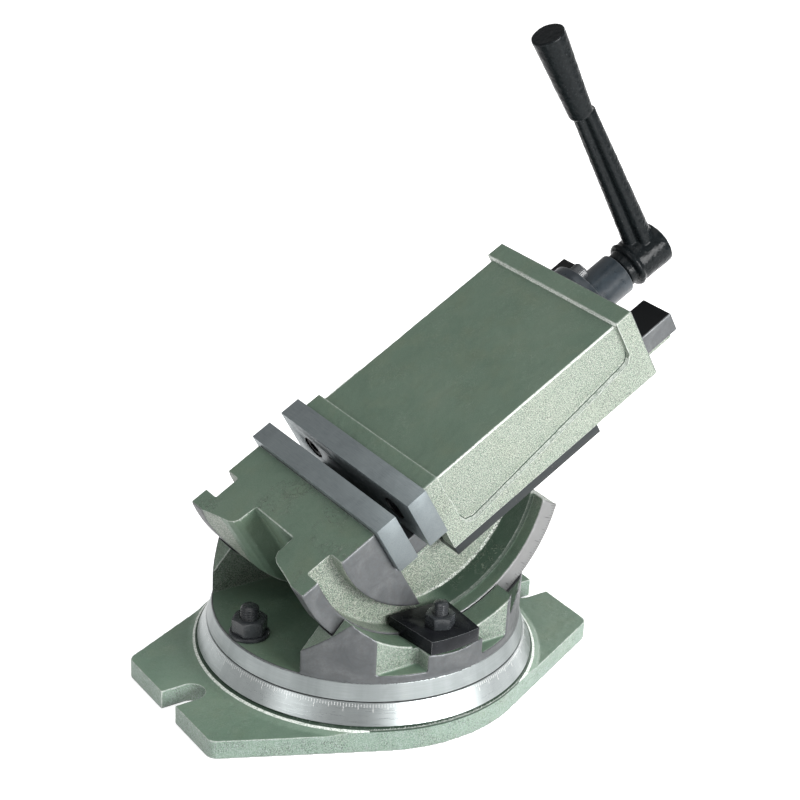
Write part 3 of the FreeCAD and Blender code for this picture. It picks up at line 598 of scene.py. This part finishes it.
def dense(holder, size, smooth):
    """A work object rebuilt as an even dense mesh with softened edges."""
    grid = holder.modifiers.new("grid", "REMESH")
    grid.mode = "VOXEL"
    grid.voxel_size = size if FINE else max(size, QUICK_GRID)
    if smooth:
        soft = holder.modifiers.new("soft", "SMOOTH")
        soft.factor = 0.5
        soft.iterations = smooth
    return applied(holder)


def points_of(mesh):
    """The mesh's points, one row each."""
    co = np.empty(len(mesh.vertices) * 3)
    mesh.vertices.foreach_get("co", co)
    return co.reshape(-1, 3)


def roughen(mesh, seed, bare=(), middle=(0.0, 0.0), layers=((3.2, 0.16), (1.6, 0.10))):
    """Sink a casting's skin unevenly, except where it is machined."""
    co = points_of(mesh)
    normals = np.empty(len(mesh.vertices) * 3)
    mesh.vertices.foreach_get("normal", normals)
    keep = 1.0 - region_numbers(co, bare, middle)
    depth = sum(value_noise(co, cell, seed + i) * deep for i, (cell, deep) in enumerate(layers))
    co -= normals.reshape(-1, 3) * (depth * keep)[:, None]
    mesh.vertices.foreach_set("co", co.ravel())
    mesh.update()


BLOCK_FACES = [(3, 2, 1, 0), (4, 5, 6, 7), (0, 1, 5, 4), (1, 2, 6, 5), (2, 3, 7, 6), (3, 0, 4, 7)]


def block(x, y, z):
    """Points and faces of a block between pairs of coordinates."""
    round_about = ((x[0], y[0]), (x[1], y[0]), (x[1], y[1]), (x[0], y[1]))
    return [(a, b, c) for c in z for a, b in round_about], BLOCK_FACES


def casting(node, name, body, local, bare, middle, seed, shape=None, plugs=(), **looks):
    """A cast piece: the CAD solid with soft edges, a rough skin and painted or bare faces.

    Plugs are blocks inside it that stiffen skins too thin for the even mesh.
    """
    holder = cad_copy(node, local)
    if plugs:
        points = [tuple(v.co) for v in holder.data.vertices]
        faces = [tuple(f.vertices) for f in holder.data.polygons]
        holder.data = joined(node, [(points, faces), *plugs])
    mesh = dense(holder, CAST_GRID, 3)
    roughen(mesh, seed, bare, middle)
    if shape:
        mesh.vertices.foreach_set("co", shape(points_of(mesh)).ravel())
        mesh.update()
    material = cast_paint(name + "_paint", bare, middle, **looks)
    return place(mesh, name, body, local, material, [node], "cast_green", smooth=0)


def edged(node, name, body, local, material, width, slot):
    """A machined piece: the CAD solid with its sharp edges broken, and its bevel facets marked for
    painted highlights.
    """
    holder = cad_copy(node, local)
    flat = holder.modifiers.new("flat", "DECIMATE")
    flat.decimate_type = "DISSOLVE"
    flat.angle_limit = math.radians(0.6)
    chamfer = holder.modifiers.new("edge", "BEVEL")
    chamfer.width = width
    chamfer.segments = 2
    chamfer.limit_method = "ANGLE"
    chamfer.angle_limit = math.radians(30)
    mesh = applied(holder)
    rubbed = mesh.attributes.new("rubbed", "FLOAT", "FACE")
    for face, mark in zip(mesh.polygons, rubbed.data):
        corners = [mesh.vertices[i].co for i in face.vertices]
        round_about = sum((a - b).length for a, b in zip(corners, corners[1:] + corners[:1]))
        # A face narrower than the bevel is one of its facets.
        mark.value = 1.0 if 2 * face.area < 0.9 * width * round_about else 0.0
    return place(mesh, name, body, local, material, [node], slot)


# ---------------------------------------------------------------- castings
# A region is a list of (quantity, low, high), in millimetres, that hold together. In the soft shapes
# of PALE and of the soft painted shade, the two numbers are where the shape begins and where it is full.
TILT_MIDDLE = (AXIS_AHEAD, -AXIS_DROP)
BASE_BARE = [[("out", 86.0, 200.0), ("z", 14.0, 27.0)], [("z", -1.0, 0.25)]]
TABLE_BARE = [[("out", 83.75, 99.0)], [("z", 0.0, 26.5)],
              [("swing", 84.0, 85.2), ("across", 45.0, 59.0), ("z", 36.6, 80.0)]]
BODY_BARE = [[("across", 57.55, 99.0)], [("swing", 83.75, 99.0), ("across", 36.0, 99.0)],
             [("z", -32.6, -31.4), ("across", -1.0, 48.0), ("x", -0.5, 300.0)],
             [("across", 46.6, 48.0), ("x", -10.5, 300.0), ("z", -44.6, -31.4)],
             [("x", 195.1, 300.0)]]
# Painted glints and painted shade specks on the grainy lip of the pocket in the body's side.
BODY_GRITTY = [[("swing", 64.6, 66.4), ("across", 38.5, 57.4), ("x", 3.0, 99.0)]]
BODY_CALM = [[("x", -99.0, -36.0), ("across", -1.0, 30.0)]]
BODY_PALE = [[("x", 0.0, 50.0), ("swing", 71.0, 73.0), ("swing", 96.0, 95.0), ("across", 36.0, 37.0)]]
# Painted shade: the scallop's near wall, and a band of the pocket's wall that faces away from the light.
BODY_DIM = [[("x", -35.0, -38.5), ("y", 2.0, -12.0), ("z", -4.0, -12.0), ("across", 31.0, 29.0)],
            [("x", -5.0, 8.0), ("swing", 66.1, 66.5), ("swing", 73.5, 73.2), ("across", 57.5, 57.3),
             ("across", 39.0, 40.0)]]
# Black painted shade and dark reflection on the bed's top under and behind the moving jaw's rear.
BODY_OILED = [[("x", 140.0, 300.0), ("z", -33.0, -31.0), ("across", -1.0, 46.2)]]
JAW_BARE = [[("z", -32.2, -31.4), ("across", -1.0, 48.0)], [("z", -60.0, -48.7)],
            [("across", 46.0, 47.6), ("z", -49.5, -31.4)], [("x", 159.9, 300.0)]]
# Painted highlights along the edges of the jaw's side panel and its end.
JAW_LIT = [[("across", 55.2, 57.05), ("z", -43.0, -26.0), ("x", 24.0, 148.0)],
           [("across", 53.7, 54.8), ("z", -6.3, -4.9), ("x", 23.5, 148.8)],
           [("x", 148.9, 149.9), ("z", -5.1, -3.0), ("across", -1.0, 56.5)]]
# Painted shade in the crease of the jaw panel's lower step.
JAW_DARK = [[("across", 54.75, 55.1), ("z", -46.0, -24.0), ("x", 22.0, 150.0)]]


def drawn_in(co, chosen, limit):
    """Bring the chosen points no further than limit from the vertical axis."""
    radius = np.hypot(co[:, 0], co[:, 1])
    chosen = chosen & (radius > INSIDE)
    co[chosen, :2] *= (np.minimum(radius, limit) / radius)[chosen, None]
    return chosen


def sink_ring(co):
    """Draw the casting in under the turned ring, which is a piece of its own."""
    moved = drawn_in(co, co[:, 2] > 13.95, 85.0)
    co[moved, 2] = np.minimum(co[moved, 2], RING_HEAD[1] - 0.25)
    return co


def sink_rim(co):
    """Draw the table in under its turned rim."""
    drawn_in(co, co[:, 2] < RIM_HEAD[1], 83.0)
    return co


# On the base: painted shade in the groove round the ring's foot and a painted highlight on its outer
# lip.
casting("base_plate", "base_casting", "base", WORLD, BASE_BARE, (0.0, 0.0), 11, sink_ring,
        tone=1.3, grit=(0.235, 0.27, 0.26), clean=0.25, least=0.22,
        recess=[[("out", 91.0, 93.3), ("z", 12.0, 20.0)]],
        lit=[[("out", 93.3, 94.6), ("z", 12.2, 15.0)]])
casting("swivel_table", "table_casting", "swivel", WORLD, TABLE_BARE, (0.0, AXIS_HEIGHT), 23, sink_rim,
        grit=(0.25, 0.265, 0.24))
casting("vise_body", "body_casting", "tilt", VISE, BODY_BARE, TILT_MIDDLE, 37,
        gritty=BODY_GRITTY, calm=BODY_CALM, oiled=BODY_OILED, pale=BODY_PALE, dim=BODY_DIM, wrinkled=0.4)
casting("moving_jaw", "jaw_casting", "jaw", JAW, JAW_BARE, (0.0, 0.0), 51, lit=JAW_LIT, recess=JAW_DARK,
        plugs=[block((146.5, 151.0), (-4.5, 4.5), (-12.0, -5.5))])

# ---------------------------------------------------------------- turned rings and graduations
RING = turned_steel("ring_steel", (0.28, 0.305, 0.305), (0.42, 0.45, 0.45), 0.30)
RIM = turned_steel("rim_steel", (0.20, 0.22, 0.22), (0.30, 0.325, 0.325), 0.36)
ring_outline = [(INSIDE, 14.3), (91.6, 14.3), RING_FOOT, RING_HEAD, (86.9, 25.8), (INSIDE, 25.8)]
rim_outline = [(INSIDE, 26.1), (86.6, 26.1), RIM_FOOT, RIM_HEAD, (84.3, 35.8), (INSIDE, 35.6)]
place(raw_mesh("ring", *turned(ring_outline, 240)), "base_ring", "base", WORLD, RING,
      slot="turned_steel", smooth=20)
place(raw_mesh("rim", *turned(rim_outline, 240)), "table_rim", "swivel", WORLD, RIM,
      slot="turned_steel", smooth=20)


def tick(corner, along, aside, out, length, width, proud):
    """A thin bar: it starts at corner, and sinks a little below the surface that it marks."""
    points = []
    for t in (-0.1, proud):
        for s, u in ((0, -0.5), (1, -0.5), (1, 0.5), (0, 0.5)):
            points.append(tuple(corner + along * (length * s) + aside * (width * u) + out * t))
    return points, BLOCK_FACES


def mark_length(degree, tens, fives, single):
    """The length of a degree mark, longer at each five and each ten degrees."""
    return tens if degree % 10 == 0 else fives if degree % 5 == 0 else single


def swivel_scale():
    """The degree marks on the base's ring, just below the seam."""
    slope = Vector((RING_FOOT[0] - RING_HEAD[0], 0, RING_FOOT[1] - RING_HEAD[1])).normalized()
    start = Vector((RING_HEAD[0] + 0.1, 0, RING_HEAD[1] - 0.25))
    parts = []
    for degree in range(360):
        swing = Matrix.Rotation(math.radians(degree), 3, "Z")
        out = swing @ Vector((-slope.z, 0, slope.x))
        parts.append(tick(swing @ start, swing @ slope, swing @ Vector((0, 1, 0)), out,
                          mark_length(degree, 4.2, 3.0, 1.8), 0.20, 0.03))
    return joined("scale", parts)


def tilt_scale(side):
    """The degree marks along the lower right stretch of one of the body's rims."""
    parts = []
    for degree in range(-62, 32):
        swing = math.radians(degree) - TILT
        along = Vector((-math.cos(swing), 0, -math.sin(swing)))
        start = Vector((AXIS_AHEAD, side * BODY_HALF, -AXIS_DROP)) - along * RIM_RADIUS
        if start.x < 24 or start.z > -56:
            continue
        parts.append(tick(start, along, Vector((along.z, 0, -along.x)), Vector((0, side, 0)),
                          mark_length(degree, 4.4, 3.2, 2.0), 0.24, 0.0))
    return parts


place(swivel_scale(), "swivel_scale", "base", WORLD, mark_fill("scale_white", (0.75, 0.75, 0.74)),
      slot="turned_steel", smooth=0)
place(joined("tilt_scale", tilt_scale(-1) + tilt_scale(1)), "tilt_scale", "tilt", VISE,
      mark_fill("scale_black", (0.06, 0.06, 0.06)), slot="cast_green", smooth=0)

# ---------------------------------------------------------------- jaw plates and machined pieces
PLATE = ground_steel("ground_plate", (1.0, 0.05, 1.0), holes=PLATE_SCREWS)
# The keepers' steel is darkened as painted shade, under the moving jaw.
KEEPER = ground_steel("keeper_steel", (0.05, 1.0, 1.0), 0.16)
BLACK = black_steel("black_oxide", shine=0.45, tint=(0.026, 0.029, 0.032))
FLANGE = black_steel("black_flange", 0.32, rub=0.3, shine=0.4, tint=(0.019, 0.027, 0.034))
CLAMP = black_steel("clamp_black", 0.20, rub=1.0)
SOCKET = black_steel("socket_black", 0.5, shine=0.1)
BRONZE = plain_metal("bronze", (0.42, 0.27, 0.12), (0.56, 0.38, 0.18), 0.32)
BRIGHT = plain_metal("bright_steel", (0.40, 0.40, 0.41), (0.58, 0.58, 0.60), 0.30)

edged("fixed_jaw_plate", "fixed_plate", "tilt", VISE, PLATE, 0.35, "ground_steel")
edged("moving_jaw_plate", "moving_plate", "jaw", JAW, PLATE, 0.35, "ground_steel")
for end in ("front", "rear"):
    edged(f"keeper_{end}", f"keeper_strip_{end}", "jaw", JAW, KEEPER, 0.4, "ground_steel")
edged("screw_nut", "nut_block", "tilt", VISE, BRONZE, 0.5, "bronze")
edged("bearing_flange", "screw_flange", "jaw", JAW, FLANGE, 0.6, "black_steel")
for end in ("front", "rear"):
    edged(f"tilt_clamp_{end}", f"clamp_{end}", "swivel", WORLD, CLAMP, 0.45, "black_steel")

# ---------------------------------------------------------------- fasteners
THREAD_STEPS = 12
M8_CAP = {"radius": 6.5, "height": 8.0, "flats": 6.0, "shank": 4.0}
M6_CAP = {"radius": 5.0, "height": 6.0, "flats": 5.0, "shank": 3.0}


def hexed(angle, flats, phase=0.0):
    """The radius of a hexagon with the given width across its flats."""
    third = math.pi / 3
    return flats / 2 / math.cos((angle + phase) % third - third / 2)


def nut(centre, flats, height, hole, phase):
    """A hexagon nut with turned corners and a countersunk thread mouth."""
    def profile(angle):
        rim = hexed(angle, flats, phase)
        face = flats / 2 * 0.95
        drop = (rim - face) * 0.55
        return [(hole, 0.8), (hole + 0.8, 0.05), (face, 0.05), (rim, 0.05 + drop * 0.5),
                (rim, height - drop), (face, height), (hole + 0.8, height), (hole, height - 0.8)]
    return turn(profile, 96, "z", centre)


def thread(radius, pitch, low, high, depth, centre, axis="z", square=False, dome=0.0):
    """A threaded rod: helical ridges between low and high, chamfered at both ends."""
    rows = max(2, int(round((high - low) / pitch * THREAD_STEPS)))

    def profile(angle):
        row = [(0.0, low)]
        for i in range(rows + 1):
            height = low + (high - low) * i / rows
            phase = (height / pitch - angle / (2 * math.pi)) % 1.0
            wave = abs(phase - 0.5) * 2
            if square:
                wave = min(1.0, max(0.0, (wave - 0.3) / 0.4))
            ridge = radius - depth * (1 - wave)
            edge = min(height - low, high - height)
            row.append((min(ridge, radius - depth - 0.4 + edge * 1.2), height))
        row.append((0.0, high + dome))
        return row
    return turn(profile, 48, axis, centre)


def socket_screw(centre, axis, away, tail, radius, height, flats, shank):
    """A socket head cap screw with a knurled head; centre is its head's bearing face."""
    def profile(angle):
        knurl = radius * (1 - 0.012 * (1 + math.cos(36 * angle)))
        inner = hexed(angle, flats)
        row = [(0.0, -tail), (shank, -tail), (shank, 0.0), (knurl, 0.0), (knurl, height - 0.9),
               (radius - 0.9, height), (inner + 0.3, height), (inner, height - 0.4),
               (inner, height * 0.4), (0.0, height * 0.4 - 0.6)]
        return [(r, h * away) for r, h in row]
    return turn(profile, 144, axis, centre)


def outward(mesh):
    """Make every face look outward."""
    work = bmesh.new()
    work.from_mesh(mesh)
    bmesh.ops.recalc_face_normals(work, faces=work.faces)
    work.to_mesh(mesh)
    work.free()
    return mesh


def flat_screw(x, y):
    """A countersunk screw seen from below, its head level with the keeper's face."""
    def profile(angle):
        inner = hexed(angle, 4.0)
        return [(0.0, -37.2), (2.8, -37.2), (2.8, -51.8), (5.6, KEEPER_FACE + 0.1), (5.5, KEEPER_FACE),
                (inner, KEEPER_FACE), (inner, KEEPER_FACE + 2.0), (0.0, KEEPER_FACE + 2.4)]
    return turn(profile, 72, "z", (x, y, 0.0))


def fasteners(name, parts, body, local, node, material=BLACK, smooth=35):
    """One object made of equal screws, nuts or washers, standing for one CAD node."""
    place(outward(joined(name, parts)), name, body, local, material, [node], "black_steel", smooth)


def swivel_locks():
    """The T bolts, washers and nuts that lock the table to the base."""
    spots = [(-BOLT_CIRCLE, 0.0), (BOLT_CIRCLE, 0.0)]
    washer = [(5.05, 0.3), (5.35, 0.0), (10.5, 0.0), (10.8, 0.3), (10.8, 1.6), (10.4, WASHER),
              (5.35, WASHER), (5.05, 1.7)]
    washers = [turned(washer, 72, "z", (x, y, TABLE_TOP)) for x, y in spots]
    nuts = [nut((x, y, TABLE_TOP + WASHER), 17.0, 8.4, 4.55, 0.30) for x, y in spots]
    heads = [block((x - 9, x + 9), (-6.3, 6.3), (10.7, 18.7)) for x, y in spots]
    shanks = [thread(5.0, 1.5, 18.7, 53.2, 0.85, (x, y, 0.0), dome=0.3) for x, y in spots]
    fasteners("lock_washers", washers, "swivel", WORLD, "swivel_washers")
    fasteners("lock_nuts", nuts, "swivel", WORLD, "swivel_nuts")
    fasteners("lock_bolts", heads + shanks, "swivel", WORLD, "swivel_t_bolts", smooth=60)


def tilt_locks():
    """The studs and nuts that press the clamps on the body's rims."""
    spots = [(0.0, -STUD_REACH), (0.0, STUD_REACH)]
    studs = [thread(4.0, 1.25, 40.0, 70.3, 0.7, (x, y, 0.0), dome=0.3) for x, y in spots]
    nuts = [nut((x, y, CLAMP_TOP), 14.0, 6.8, 3.6, math.radians(25)) for x, y in spots]
    fasteners("clamp_studs", studs, "swivel", WORLD, "tilt_studs", smooth=60)
    fasteners("clamp_nuts", nuts, "swivel", WORLD, "tilt_nuts")


def plate_screws(name, side, body, local, node):
    """The cap screws sunk in a jaw plate; side is 1 for the fixed jaw and -1 for the moving one."""
    parts = [socket_screw((-8.5 * side, y, z), "x", side, 16.0, **M8_CAP)
             for y, z in PLATE_SCREWS]
    fasteners(name, parts, body, local, node, SOCKET)


def small_screws():
    """The cap screws of the nut block and the flange, and the keepers' countersunk screws."""
    wings = [socket_screw((136.8, y, -24.0), "z", 1, 22.0, **M6_CAP) for y in (-28.0, 28.0)]
    fasteners("nut_block_screws", wings, "tilt", VISE, "nut_screws")
    angles = [math.radians(a) for a in (90, 210, 330)]
    circle = [(FLANGE_CIRCLE * math.cos(a), SCREW_DROP + FLANGE_CIRCLE * math.sin(a)) for a in angles]
    heads = [socket_screw((JAW_END + FLANGE_THICK, y, z), "x", 1, 16.0, **M6_CAP) for y, z in circle]
    fasteners("flange_bolts", heads, "jaw", JAW, "flange_screws")
    keepers = [flat_screw(x, side * KEEPER_REACH) for x in (25.0, 64.5, 104.0) for side in (-1, 1)]
    fasteners("keeper_bolts", keepers, "jaw", JAW, "keeper_screws")


swivel_locks()
tilt_locks()
plate_screws("fixed_plate_screws", 1, "tilt", VISE, "fixed_jaw_screws")
plate_screws("moving_plate_screws", -1, "jaw", JAW, "moving_jaw_screws")
small_screws()


# ---------------------------------------------------------------- lead screw and crank
def lead_screw():
    """The square-threaded screw, its thrust collar inside the flange, and its journal in the crank."""
    journal = [(0.0, 155.4), (12.4, 155.4), (12.8, 155.8), (12.8, 159.7), (12.4, 160.1), (8.0, 160.1),
               (8.0, 191.4), (7.0, 191.8), (7.0, 219.2), (6.4, 219.8), (0.0, 219.8)]
    return outward(joined("screw", [thread(10.0, 5.0, 30.0, 155.3, 2.3, SCREW_AXIS, "x", square=True),
                                    turned(journal, 72, "x", SCREW_AXIS)]))


def rod_along(rows, section):
    """A lofted bar: rows give (height, centre x, scale) and section(angle) the radius."""
    segments = 64
    points, faces = [], []
    for height, cx, scale in rows:
        for k in range(segments):
            angle = 2 * math.pi * k / segments
            r = section(angle) * scale
            points.append((cx + r * math.cos(angle), r * math.sin(angle), height))
    for i in range(len(rows) - 1):
        for k in range(segments):
            n = (k + 1) % segments
            faces.append((i * segments + k, i * segments + n, (i + 1) * segments + n,
                          (i + 1) * segments + k))
    faces.append(tuple(reversed(range(segments))))
    faces.append(tuple(range((len(rows) - 1) * segments, len(rows) * segments)))
    return points, faces


def arm_section(angle):
    """A round bar with a deep flute on each side."""
    dip = 0.0
    for middle in (math.radians(232), math.radians(128)):
        away = (angle - middle + math.pi) % (2 * math.pi) - math.pi
        dip = max(dip, math.exp(-(away / 0.30) ** 2))
    return 1.0 - 0.36 * dip


def crank():
    """The crank: hub with a bead, fluted arm and tapered grip, run together as one casting."""
    shoulder = SCREW_DROP + 101.0
    end = SCREW_DROP + 154.7
    boss = [(0.0, 192.1), (9.6, 192.1), (10.5, 193.0), (10.5, 199.0), (0.0, 199.0)]
    hub = [(0.0, 197.2), (11.2, 197.2), (12.6, 199.0), (13.0, 204.0), (13.3, 217.0), (13.1, 221.0),
           (12.0, 222.0), (0.0, 222.0)]
    bead = [(11.2 + 2.5 * math.cos(t), 199.3 + 2.3 * math.sin(t))
            for t in [2 * math.pi * i / 16 for i in range(16)]]
    arm = [(SCREW_DROP, 211.0, 9.1), (SCREW_DROP + 50, 210.1, 7.9), (shoulder + 1, 209.2, 6.8)]
    grip = [(shoulder, 207.7, 5.6), (shoulder + 0.8, 207.7, 6.6), (shoulder + 2.2, 207.7, 7.0),
            (end - 1.2, 207.3, 9.4), (end - 0.3, 207.3, 9.2), (end, 207.3, 8.4)]
    parts = [turned(outline, 96, "x", SCREW_AXIS) for outline in (boss, hub, bead)]
    parts += [rod_along(arm, arm_section), rod_along(grip, lambda angle: 1.0)]
    mesh = dense(bpy.data.objects.new("crank_work", outward(joined("crank", parts))), CRANK_GRID, 2)
    roughen(mesh, 71, layers=((3.0, 0.20), (1.5, 0.14)))
    return mesh


place(lead_screw(), "jaw_screw", "screw", JAW, BRIGHT, ["lead_screw"], "turned_steel", smooth=50)
place(crank(), "crank_casting", "screw", JAW, black_casting("crank_black"), ["crank_handle"],
      "black_cast", smooth=0)
edged("crank_pin", "hub_pin", "screw", JAW, black_casting("pin_black"), 0.2, "turned_steel")


# ---------------------------------------------------------------- floor, light and camera
def pale_floor():
    """A plain pale floor just under the base."""
    s = Shading("pale_floor")
    tone = s.colours(s.noise(400, 3), (0.3, (0.90, 0.90, 0.90)), (0.7, (0.93, 0.93, 0.93)))
    s.set(Base_Color=tone, Roughness=0.9, Emission_Color=(1, 1, 1), Emission_Strength=0.55)
    mesh = raw_mesh("floor", [(-9, -9, 0), (9, -9, 0), (9, 9, 0), (-9, 9, 0)], [(0, 1, 2, 3)])
    mesh.materials.append(s.material)
    floor = bpy.data.objects.new("floor", mesh)
    bpy.context.scene.collection.objects.link(floor)
    floor.location.z = -0.0002


def white_room():
    """Even white light from all round."""
    world = bpy.data.worlds.new("studio")
    world.use_nodes = True
    background = world.node_tree.nodes["Background"]
    background.inputs["Color"].default_value = (1, 1, 1, 1)
    background.inputs["Strength"].default_value = 0.42
    bpy.context.scene.world = world
    bpy.context.scene.view_settings.view_transform = "Standard"


def soft_light(name, spot, target, size, power, tall=None):
    """An area light at spot that faces target."""
    lamp = bpy.data.lights.new(name, "AREA")
    lamp.energy = power
    lamp.size = size
    if tall:
        lamp.shape = "RECTANGLE"
        lamp.size_y = tall
    light = bpy.data.objects.new(name, lamp)
    light.location = spot
    light.rotation_euler = (Vector(target) - Vector(spot)).to_track_quat("-Z", "Y").to_euler()
    bpy.context.scene.collection.objects.link(light)


def set_camera():
    """A long lens from the front left, above, rolled a little."""
    stand = Vector((-0.532883, -0.785247, 0.592673))
    azimuth, elevation, roll = (math.radians(a) for a in (-34.95, 24.64, 3.02))
    back = Vector((math.sin(azimuth) * math.cos(elevation), -math.cos(azimuth) * math.cos(elevation),
                   math.sin(elevation)))
    right = Vector((math.cos(azimuth), math.sin(azimuth), 0))
    upward = back.cross(right)
    lens = bpy.data.cameras.new("camera")
    lens.lens = 89.568
    lens.sensor_width = 36
    lens.clip_start = 0.05
    lens.clip_end = 60
    camera = bpy.data.objects.new("camera", lens)
    bpy.context.scene.collection.objects.link(camera)
    pose = Matrix((math.cos(roll) * right + math.sin(roll) * upward,
                   -math.sin(roll) * right + math.cos(roll) * upward, back)).transposed().to_4x4()
    pose.translation = stand
    camera.matrix_world = pose
    bpy.context.scene.camera = camera


pale_floor()
white_room()
AIM = (0.02, 0.0, 0.12)
soft_light("front", (0.38, -1.36, 0.52), AIM, 0.8, 38, 0.6)
soft_light("overhead", (-0.2, -0.1, 1.7), AIM, 1.2, 9)
soft_light("left", (-1.5, -0.3, 0.6), AIM, 0.6, 5)
soft_light("right", (1.3, 0.5, 0.7), AIM, 0.6, 8)
set_camera()
